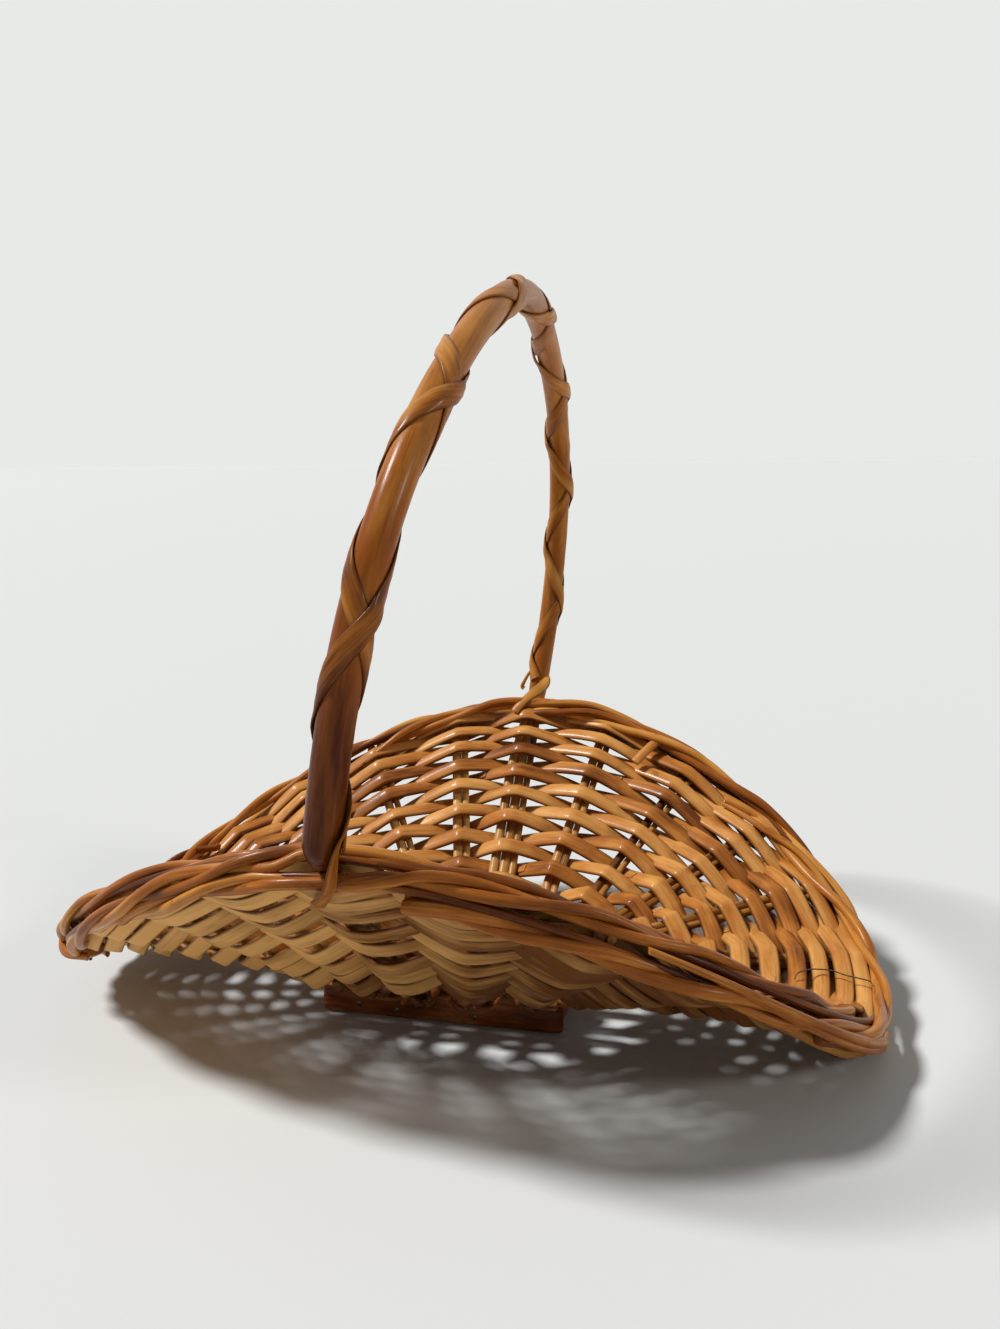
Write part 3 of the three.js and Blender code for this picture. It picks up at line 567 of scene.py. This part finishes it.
# Loose splits: trimmed ends of the base weave that hang between the wall and the front foot stick.
# Thin shavings of the same willow, some straight, some curled, none of them holding anything.
hanging = (
    ((-0.054, -0.056, 0.034), (-0.058, -0.052, 0.024), (-0.063, -0.049, 0.0140)),
    ((-0.048, -0.057, 0.034), (-0.054, -0.053, 0.024), (-0.058, -0.050, 0.0155)),
    ((-0.037, -0.058, 0.034), (-0.035, -0.054, 0.023), (-0.031, -0.050, 0.0130)),
    ((-0.020, -0.059, 0.033), (-0.027, -0.055, 0.023), (-0.034, -0.050, 0.0135)),
    ((-0.012, -0.060, 0.034), (-0.018, -0.056, 0.023), (-0.025, -0.051, 0.0115)),
    ((0.006, -0.060, 0.033), (-0.003, -0.056, 0.021), (-0.013, -0.052, 0.0080)),
    ((0.004, -0.060, 0.027), (0.007, -0.056, 0.017), (0.014, -0.054, 0.0140), (0.022, -0.055, 0.0200)),
    ((0.034, -0.061, 0.034), (0.028, -0.056, 0.025), (0.022, -0.052, 0.0150)),
    ((0.036, -0.061, 0.033), (0.044, -0.056, 0.023), (0.052, -0.051, 0.0145)),
    ((0.019, -0.060, 0.029), (0.026, -0.056, 0.021), (0.033, -0.054, 0.0190)),
)
paths = []
for n, corners in enumerate(hanging):
    width = np.linspace(1.1, 0.4, 16) * (0.8 + 0.4 * ((n * 0.37) % 1))
    facing = (0.25 * math.sin(n * 2.3), -1.0, 0.3)
    # The shavings are painted darker, as shade in the hollow under the wall.
    paths.append((smooth_line(corners, 16), facing, width, (n * 0.43) % 1, -0.3))
piece = sweep("loose_splits", paths, split_willow, half_width=0.0026, crown=0.0006, belly=0.0004, sides=8)
fit(piece, "weaver_willow")


# The rim: a rolled border of long rods in twisted pairs. Each pair comes up on the outside, crosses slowly
# over the rib ends and is tucked away on the inside, so that three pairs lie abreast anywhere.
# Two thin core rods run round under them, and the pairs part at the handle to hold its feet.
rim_pairs, pairs_abreast, rim_rod = 8, 3, 0.0030
rim_reach, parting, tuck_length = 0.21, 0.13, 0.030
twist_lane, twist_rise = 0.070, 0.0024
rod_facing = (0.05, 0.1, 1.0)
# Section of the border, from low outside over the rib ends to low inside: out and normal in metres.
border = ((-0.0100, -0.0074), (-0.0035, -0.0086), (0.0020, -0.0068), (0.0050, 0.0), (0.0020, 0.0068),
          (-0.0035, 0.0086), (-0.0100, 0.0074))


def rim_place(t, out_by, normal_by):
    """A point beside the rim line: out along the wall, and along the normal towards the inside."""
    _, out, normal, _ = tray_frame(1.0, t)
    return tray(1.0, t) + out * out_by + normal * normal_by


def rim_path(number):
    """One rod of a twisted pair that climbs from the outside over the rib ends and is tucked inside."""
    pair, ply = divmod(number, 2)
    chance = random.Random(900 + pair)
    spacing = 2 * math.pi / rim_pairs
    t_from = math.pi / 2 + (pair + chance.uniform(-0.2, 0.2)) * spacing
    phase, pitch = chance.uniform(0, 6.28), chance.uniform(0.11, 0.17)
    chance = random.Random(950 + number)
    first, stout = chance.choice((0.0, 0.05, 0.12)), chance.uniform(0.85, 1.15)
    span = pairs_abreast * spacing
    count = 150
    points, scales, shade = [], [], []
    for i in range(count):
        share = first + (1 - first) * i / (count - 1)
        t = t_from + share * span
        parted = math.exp(-abs(math.cos(t) / parting) ** 2.6)
        twist = phase + math.pi * ply + share * span * rim_reach * 2 * math.pi / pitch
        lane = share + twist_lane * (1 - 0.5 * parted) * math.sin(twist)
        lane += parted * ((0.70 * lane if lane < 0.5 else 1 - 0.70 * (1 - lane)) - lane)
        place = min(max(lane, 0.0), 1.0) * (len(border) - 1)
        out_by, normal_by = (float(np.interp(place, range(len(border)), way)) for way in zip(*border))
        away = unit_vector(np.array([out_by + 0.004, normal_by]))
        away = away * twist_rise * (1 - 0.3 * parted) * math.cos(twist)
        tuck = max(0.0, 1 - (1 - share) * span * rim_reach / tuck_length)
        points.append(rim_place(t, out_by + away[0] - 0.004 * tuck ** 2,
                                (normal_by + away[1]) * (1 - 0.35 * tuck ** 2)))
        scales.append(stout * (1.12 - 0.26 * share) * (1 - 0.3 * tuck) * (0.8 if i == 0 else 1.0))
        # Painted shade: the rods in front, right of the handle, are darker as the light falls.
        shade.append(-0.10 * max(0.0, -math.sin(t)) * (1 + math.cos(t)))
    points = smooth_line(points[::4] + [points[-1]], count)
    return points, rod_facing, scales, chance.random(), shade


# Thin willow rods under varnish: glossy red-brown, with amber where they are lighter.
rim_willow = willow("rolled_rim_rod", "#4e2208", "#9c591e", "#dda04c", roughness=0.32, coat=0.11, speck=0.5,
                    mottle=0.75)
rim_paths = [rim_path(n) for n in range(2 * rim_pairs)]
# The core rods are painted darker, as the shade between and under the pairs.
for normal_by in (-0.0048, 0.0048):
    points = [rim_place(t, 0.0005, normal_by) for t in np.linspace(0.3, 0.35 + 2 * math.pi, 150)]
    rim_paths.append((points, rod_facing, 0.75, 0.2, -0.2))
piece = sweep("rolled_rim", rim_paths, rim_willow, rim_rod, sides=14)
fit(piece, "rim_willow", "rim_rod_inner", "rim_rod_outer", "rim_rod_top_inner", "rim_rod_top_outer")


# Rim ends: at the left tip the last rods are bent over the border like fingers and cut off below it;
# at the right tip two rods end blunt inside the border and a thread of bark dangles under it.
finger_lean = math.radians(11.0)
paths = []
for n in range(6):
    t = math.radians(168 + n * 5.5)
    # Share of the lean, out and normal, from inside the border over its top to the cut end outside.
    over = ((-1.0, -0.014, 0.0085), (-0.6, -0.002, 0.0105), (-0.2, 0.0062, 0.0070), (0.2, 0.0082, -0.0030),
            (0.6, 0.0026, -0.0112), (1.0, -0.007 - 0.002 * (n % 3), -0.0126))
    corners = [rim_place(t + turn * finger_lean, out_by, normal_by) for turn, out_by, normal_by in over]
    paths.append((smooth_line(corners, 34), tray_frame(1.0, t)[0],
                  np.linspace(1.0, 0.85, 34) * (0.82 + 0.06 * (n % 4)), (n * 0.31 + 0.1) % 1, -0.05))
for t_end, roll, strand in ((-11.0, -25, 0.5), (-2.5, -62, 0.3)):
    corners = []
    for share in np.linspace(0, 1, 9):
        t = math.radians(t_end - 42 * (1 - share))
        angle = math.radians(roll * (0.4 + 0.6 * share))
        deep = 1 - 0.45 * max(0.0, 1 - share / 0.3)
        corners.append(rim_place(t, 0.002 + 0.0068 * deep * math.cos(angle),
                                 0.0098 * deep * math.sin(angle)))
    paths.append((smooth_line(corners, 60), rod_facing, np.linspace(0.6, 1.0, 60), strand))
fit(sweep("rim_ends", paths, rim_willow, rim_rod, sides=14), "rim_willow")
thread = smooth_line([(0.203, -0.036, 0.0120), (0.208, -0.037, 0.0060), (0.213, -0.039, 0.0028),
                      (0.217, -0.038, 0.0050), (0.215, -0.036, 0.0085), (0.211, -0.036, 0.0075)], 40)
piece = sweep("bark_thread", [(thread, (0, 1, 0.1), np.linspace(1.2, 0.6, 40), 0.1)], rim_willow,
              half_width=0.0010, crown=0.0005, belly=0.0005, sides=8)
fit(piece, "rim_willow")


# The wire tie: one turn of thin steel wire, as dark as the nails, bent by hand round the last rows at the
# right tip to hold them together. It lies on top of the splits, and both ends go down between them.
def on_wall(u, degrees, lift):
    """A point that stands off the inside of the tray wall."""
    t = math.radians(degrees)
    return tray(u, t) + tray_frame(u, t)[2] * lift


wire_radius = 0.0004
wire = smooth_line([on_wall(*place) for place in (
    (0.672, 2.4, 0.0055), (0.684, 3.1, 0.0084), (0.73, 4.6, 0.0091), (0.775, 5.3, 0.0088),
    (0.82, 5.2, 0.0092), (0.874, 4.5, 0.0088), (0.93, 3.9, 0.0092), (0.971, 3.5, 0.0090),
    (0.985, 3.3, 0.0062))], 60)
fit(sweep("wire_tie", [(wire, (0, 0.1, 1), 1.0, 0.5)], nail_steel, wire_radius, sides=8), "weaver_willow")


# The stub: a short square end of a spare rod, split from the same willow as the rows.
# It lies on the inside of the far wall, with its upper end pushed in under the rim rods.
stub = smooth_line([on_wall(*place) for place in (
    (0.820, 65.9, 0.0080), (0.90, 65.0, 0.0094), (0.960, 64.4, 0.0088), (0.995, 64.1, 0.0070))], 20)
stub_facing = tray_frame(0.9, math.radians(65))[2]
piece = sweep("spare_rod_stub", [(stub, stub_facing, 1.0, 0.75)], split_willow, half_width=0.0030,
              crown=0.0016, belly=0.0012, sides=16, squareness=0.5)
fit(piece, "weaver_willow")


# The handle: one thick willow rod bent to a bow, butt end in front and thinner tip end behind.
# Its feet are shaved to flat tongues and pushed down between the parted rim rods.
near_radius, far_radius = 0.0088, 0.0065
bow_top = 0.404
near_bulge, far_bulge, lean_near, lean_far = 0.215, 0.226, 0.233, 0.11
tongue_half, tongue_rise, tongue_length, tongue_blend = 0.006, 0.012, 0.008, 0.015
bud_height, bud_length = 0.06, 0.005
bow_count, bow_sides = 260, 32
foot_near = tray(1.0, -math.pi / 2)
foot_out = tray_frame(1.0, -math.pi / 2)[1]
anchor = foot_near + foot_out * tongue_rise


def bow_point(turn):
    """Point on the arch, from the near foot at 0 to the far foot at pi."""
    c = math.cos(turn)
    bulge = 1 + (near_bulge if turn < math.pi / 2 else far_bulge) * math.sin(2 * min(turn, math.pi - turn))
    z = anchor[2] + (bow_top - anchor[2]) * math.sin(turn)
    near = (1 + c) / 2
    x = anchor[0] + (z - anchor[2]) * (lean_near * near + lean_far * (1 - near))
    return np.array([x, anchor[1] * c * bulge, z])


tongue = [foot_near - foot_out * (rim_rod_radius + gap / 2), foot_near + foot_out * 0.003, anchor]
bow_line = tongue + [bow_point(math.pi * i / 34) for i in range(1, 34)]
bow_line += [p * np.array([1, -1, 1]) for p in tongue[::-1]]
bow_points = smooth_line(bow_line, bow_count)
bow_reach = np.concatenate([[0], np.cumsum(np.linalg.norm(np.diff(bow_points, axis=0), axis=1))])
bow_length = bow_reach[-1]


def bow_frame(reach):
    """Centre, across (to the right) and front direction at a distance along the bow."""
    p, ahead, behind = (np.array([float(np.interp(r, bow_reach, bow_points[:, k])) for k in range(3)])
                        for r in (reach, min(reach + 0.003, bow_length), max(reach - 0.003, 0.0)))
    tangent = unit_vector(ahead - behind)
    across = unit_vector(np.array([1.0, 0, 0]) - tangent * tangent[0])
    return p, across, np.cross(tangent, across)


def bow_radius(reach):
    return near_radius + (far_radius - near_radius) * reach / bow_length


vertices, faces, along, girth = [], [], [], []
chance = random.Random(5)
buds = [(chance.uniform(0.08, 0.92), chance.uniform(0, 6.28)) for _ in range(9)]
for reach in bow_reach:
    p, across, front = bow_frame(reach)
    end = min(reach, bow_length - reach)
    grow = min(max((end - tongue_length) / tongue_blend, 0.0), 1.0)
    grow = grow * grow * (3 - 2 * grow)
    half_x = tongue_half + (bow_radius(reach) - tongue_half) * grow
    half_y = rib_radius + (bow_radius(reach) - rib_radius) * grow
    tip = 0.70 + 0.30 * min(end / 0.004, 1.0) ** 0.5
    for k in range(bow_sides):
        a = 2 * math.pi * k / bow_sides
        swell = tip * (1 + 0.012 * math.sin(reach / 0.016) + 0.008 * math.sin(reach / 0.043 + a))
        for place, way in buds:
            bud = bud_height * math.exp(-((reach - place * bow_length) / bud_length) ** 2)
            swell += bud * max(0.0, math.cos(a - way)) ** 3
        x, y = math.cos(a) * half_x * swell, math.sin(a) * half_y * swell
        vertices.append(tuple(p + across * x + front * y))
        along.append(reach)
        girth.append((x, y, 0.0))
for i in range(bow_count - 1):
    for k in range(bow_sides):
        a, b = i * bow_sides + k, i * bow_sides + (k + 1) % bow_sides
        faces.append((a, b, b + bow_sides, a + bow_sides))
faces.append(tuple(range(bow_sides))[::-1])
faces.append(tuple(range((bow_count - 1) * bow_sides, bow_count * bow_sides)))
mesh = bpy.data.meshes.new("bent_bow")
mesh.from_pydata(vertices, [], faces)
# Darker towards the near foot, partly a darker varnish and partly painted shade, and lighter further on as
# painted light: share of the length, and how much lighter or darker.
bow_shade = ((0.0, -0.36), (0.09, -0.28), (0.17, -0.10), (0.24, 0.08), (0.42, 0.06), (0.60, 0.12),
             (1.0, 0.05))
shade = np.interp(np.array(along) / bow_length, *zip(*bow_shade))
store(mesh, along=along, girth=girth, strand=np.full(len(vertices), 0.45), shade=shade)
mesh.polygons.foreach_set("use_smooth", [True] * len(mesh.polygons))
# Thick bent willow under varnish: deep red-brown, few streaks, a soft gloss.
mesh.materials.append(willow("bent_willow_bow", "#481c04", "#8c4c16", "#c88a3c", roughness=0.30,
                             streak_mm=1.4, speck=0.3, mottle=0.55, grain=0.25))
bow = bpy.data.objects.new("bent_bow", mesh)
bpy.context.scene.collection.objects.link(bow)
fit(bow, "handle_willow", "bow_handle")


# Handle tongues: the shaved ends of the bow go on down beside the middle ribs, inside the weave,
# as two thick peeled rods that stop just above the base.
tongue_top, tongue_foot, tongue_radius = 0.97, 0.06, 0.0034
paths = []
for way in (1, -1):
    t = way * math.pi / 2
    corners = []
    for u in np.linspace(tongue_top, tongue_foot, 12):
        left = 0.0040 + 0.0055 * min(1.0, (tongue_top - u) / 0.3)
        corners.append(tray(u, t) - np.array([left, 0, 0]) - tray_frame(u, t)[2] * 0.0004)
    paths.append((smooth_line(corners, 60), (1.0, 0, 0.1), np.linspace(1.05, 0.92, 60), 0.6 + 0.2 * way))
fit(sweep("handle_tongues", paths, rib_willow, tongue_radius, sides=16), "handle_willow")


# The cane strips: two flat splits wound round the bow in opposite senses, with their ends laid over the rim.
# On the near leg they cross the front quickly and come back slowly behind, and the outer one starts behind
# the leg, so that its lowest part is bare; further on both keep an even pitch.
near_pitch, far_pitch, strip_phase = 0.122, 0.080, math.radians(5)
strip_half, strip_crown, strip_belly, strip_curl, strip_lift = 0.0049, 0.0008, 0.0006, 0.0013, 0.0008
wound_from = 0.0035 + tongue_rise
wound_length = bow_length - 2 * wound_from
change_over, strip_climb = 0.270, 0.0014
# Where the strips lie on the near leg: distance along the bow and degrees round it from its right.
inner_winding = ((0.0195, 20), (0.0555, 92), (0.088, 180), (0.1355, 360), (0.202, 540), (0.239, 720),
                 (0.300, 901))
outer_winding = ((0.070, -230), (0.115, -360), (0.154, -540), (0.240, -720), (0.277, -895), (0.360, -1097))


def strip_angle(sense, reach):
    """Angle round the bow at a distance along it, eased over 20 mm."""
    places, degrees = zip(*(inner_winding if sense > 0 else outer_winding))
    change = (far_pitch - near_pitch) / wound_length
    angles = []
    for place in np.linspace(reach - 0.010, reach + 0.010, 5):
        if place < places[-1]:
            angles.append(math.radians(np.interp(place, places, degrees)))
        else:
            turns = math.log(1 + change * (place - wound_from) / near_pitch) / change
            angles.append(strip_phase + sense * 2 * math.pi * turns)
    return sum(angles) / len(angles)


def strip_path(sense, near_start, far_start, strand):
    """Path of a strip round the bow, flat on it and lifted where it crosses over the other one."""
    phase = random.Random(strand).uniform(0, 6)
    count = 400
    points, normals, scales = [], [], []
    for reach in np.linspace(wound_from + near_start, bow_length - wound_from - far_start, count):
        p, across, front = bow_frame(reach)
        a = strip_angle(sense, reach)
        radial = across * math.cos(a) + front * math.sin(a)
        # Where they meet, the inner strip lies over the outer one on the near leg and under it further on.
        apart = (strip_angle(1, reach) - strip_angle(-1, reach)) / (2 * math.pi)
        meeting = abs(apart - round(apart)) / 2
        climb = min(max((0.15 - meeting) / 0.08, 0.0), 1.0)
        climb = strip_climb * climb * climb * (3 - 2 * climb)
        if (sense > 0) != (reach < change_over):
            climb = 0.0
        off = bow_radius(reach) + strip_lift + climb + 0.0002 * math.sin(reach / 0.02 + phase)
        points.append(p + radial * off)
        normals.append(radial)
        scales.append(1.12 - 0.24 * reach / bow_length + 0.03 * math.sin(reach / 0.03 + phase))
    # Like the bow, the strips are darker on the near leg: partly their tone, partly painted shade.
    shade = np.interp(np.arange(count), (0, count // 3, count), (-0.25, 0.04, 0.0))
    return points, normals, scales, strand, shade


def strip_tail(side, corners, strand, before=()):
    """A strip end that leaves the bow and lies over the rim. Corners are x, out, normal, then the way each
    faces; before holds points and facings still on the bow."""
    t, thin = side * math.pi / 2, np.linspace(0.9, 0.72, 60)
    out, normal = tray_frame(1.0, t)[1:3]
    places, facings = [p for p, _ in before], [way for _, way in before]
    for x, out_by, normal_by, way_x, way_normal, way_out in corners:
        places.append(rim_place(t, out_by, normal_by) + np.array([x, 0, 0]))
        facings.append(np.array([way_x, 0, 0]) + normal * way_normal + out * way_out)
    return smooth_line(places, 60), smooth_line(facings, 60), thin, strand


def wrapped(reach, degrees, lift):
    """A point on the wound bow and the way it faces."""
    p, across, front = bow_frame(reach)
    radial = across * math.cos(math.radians(degrees)) + front * math.sin(math.radians(degrees))
    return p + radial * (bow_radius(reach) + lift), radial


near_tail = strip_tail(-1, (
    (0.0060, 0.0070, -0.0125, 0.5, -0.9, 0.1), (0.0010, -0.0010, -0.0140, 0.1, -1.0, 0.1),
    (-0.0045, -0.0090, -0.0138, 0.0, -1.0, 0.0), (-0.0085, -0.0165, -0.0118, 0.0, -1.0, 0.1),
), 0.3, [wrapped(wound_from + reach, degrees, 2 * strip_lift) for reach, degrees in (
    (0.040, 85), (0.033, 55), (0.026, 25), (0.018, -5), (0.009, -30))])
far_tail = strip_tail(1, (
    (-0.0040, 0.0240, 0.0060, -0.5, 0.9, 0.2), (0.0050, 0.0200, 0.0085, 0.5, 0.9, 0.2),
    (0.0062, 0.0120, 0.0105, 0.3, 1.0, 0.3), (0.0010, 0.0040, 0.0122, 0.0, 1.0, 0.2),
    (-0.0060, -0.0040, 0.0118, 0.0, 1.0, -0.1), (-0.0110, -0.0120, 0.0105, 0.0, 1.0, 0.0),
), 0.8)
# Split cane: flat and dense, with finer streaks than the willow and dark edges.
cane = willow("split_cane_strip", "#582a0a", "#9a5b1f", "#cb9244", coat=0.12, streak_mm=0.9, speck=0.3,
              edge_mm=5.0)
inner = [strip_path(1, 0.004, 0.004, 0.35), near_tail]
outer = [strip_path(-1, outer_winding[0][0] - wound_from, 0.010, 0.6), far_tail]
for node, strips in (("cane_strip_inner", inner), ("cane_strip_outer", outer)):
    piece = sweep(node + "_cane", strips, cane, strip_half, strip_crown, strip_belly, sides=14,
                  squareness=0.7, curl=strip_curl)
    fit(piece, "cane_strip", node)


# The cane curl: a thin shaving of the same cane, left loose where the strips end at the far foot.
# It springs away from the bow to the left and holds nothing.
p, across, front = bow_frame(bow_length - wound_from - 0.018)
springs = ((-0.0090, -0.003, -0.0035), (-0.0120, -0.004, -0.0090), (-0.0135, -0.004, -0.0125),
           (-0.0120, -0.004, -0.0140))
curl = smooth_line([p - across * 0.0055 + front * 0.002] + [p + np.array(away) for away in springs], 40)
piece = sweep("cane_curl", [(curl, (0.2, -1, 0.2), np.linspace(0.8, 1.2, 40), 0.9, 0.35)], cane,
              half_width=0.0012, crown=0.0005, belly=0.0004, sides=8)
fit(piece, "cane_strip")


# The floor: a plain sheet far larger than the view, in matt pale paint that takes a soft shadow.
# It belongs to the stage and not to the basket.
floor_half = 40
floor_mesh = bpy.data.meshes.new("floor")
corners = [(x * floor_half, y * floor_half, 0) for x, y in ((-1, -1), (1, -1), (1, 1), (-1, 1))]
floor_mesh.from_pydata(corners, [], [(0, 1, 2, 3)])
floor = bpy.data.objects.new("floor", floor_mesh)
bpy.context.scene.collection.objects.link(floor)
floor_paint = bpy.data.materials.new("pale_floor")
floor_paint.use_nodes = True
floor_shader = floor_paint.node_tree.nodes["Principled BSDF"]
floor_shader.inputs["Base Color"].default_value = linear("#d2d5d5")
floor_shader.inputs["Roughness"].default_value = 0.7
floor_mesh.materials.append(floor_paint)


# The light: a dim even studio all round, seen as a pale backdrop, with a soft key light from the left
# and a weak side light from the right that keeps the shaded side readable.
world = bpy.data.worlds.new("studio")
bpy.context.scene.world = world
world.use_nodes = True
world_tree = world.node_tree
world_tree.nodes.clear()
joined = {"operation": "ADD", "use_clamp": True}
ray = add(world_tree, "ShaderNodeLightPath")
seen = add(world_tree, "ShaderNodeMath", joined, _0=ray.outputs["Is Camera Ray"],
           _1=ray.outputs["Is Glossy Ray"])
seen = add(world_tree, "ShaderNodeMath", joined, _0=seen.outputs[0], _1=ray.outputs["Is Transmission Ray"])
dim = add(world_tree, "ShaderNodeBackground", Color=linear("#f3f3f2"), Strength=0.15)
pale = add(world_tree, "ShaderNodeBackground", Color=linear("#e8eae8"), Strength=1.0)
sky = add(world_tree, "ShaderNodeMixShader", Fac=seen.outputs[0], _1=dim.outputs[0], _2=pale.outputs[0])
add(world_tree, "ShaderNodeOutputWorld", Surface=sky.outputs[0])
for name, strength, spread, colour, travel in (
    ("key_light", 3.8, 11, "#fffdfb", (0.60, 0.12, -0.79)),
    ("side_light", 0.75, 10, "#fff8f0", (-0.92, 0.08, -0.38)),
):
    lamp = bpy.data.lights.new(name, "SUN")
    lamp.energy = strength
    lamp.angle = math.radians(spread)
    lamp.color = linear(colour)[:3]
    holder = bpy.data.objects.new(name, lamp)
    holder.rotation_euler = Vector(travel).to_track_quat("-Z", "Y").to_euler()
    bpy.context.scene.collection.objects.link(holder)


# The camera: stands where the photograph was taken from, a little above the rim and to the right,
# with the focal length and tilt that make the rim, the foot and the bow fall in the same places.
camera_place = (0.217, -0.706, 0.320)
yaw, pitch, roll = math.radians(-15.5), math.radians(9.29), math.radians(-0.778)
sensor_mm, focal_px, frame_px = 36, 1300, 1329
forward = Vector((math.sin(yaw) * math.cos(pitch), math.cos(yaw) * math.cos(pitch), -math.sin(pitch)))
right = Vector((math.cos(yaw), -math.sin(yaw), 0))
up = right.cross(forward)
right_rolled = right * math.cos(roll) + up * math.sin(roll)
up_rolled = up * math.cos(roll) - right * math.sin(roll)
camera_data = bpy.data.cameras.new("camera")
camera_data.sensor_fit = "AUTO"
camera_data.sensor_width = sensor_mm
camera_data.lens = sensor_mm * focal_px / frame_px
camera_data.clip_start = 0.01
camera = bpy.data.objects.new("camera", camera_data)
axes = Matrix((right_rolled, up_rolled, -forward)).transposed().to_4x4()
camera.matrix_world = Matrix.Translation(camera_place) @ axes
bpy.context.scene.collection.objects.link(camera)
bpy.context.scene.camera = camera
bpy.context.scene.view_settings.view_transform = "Standard"
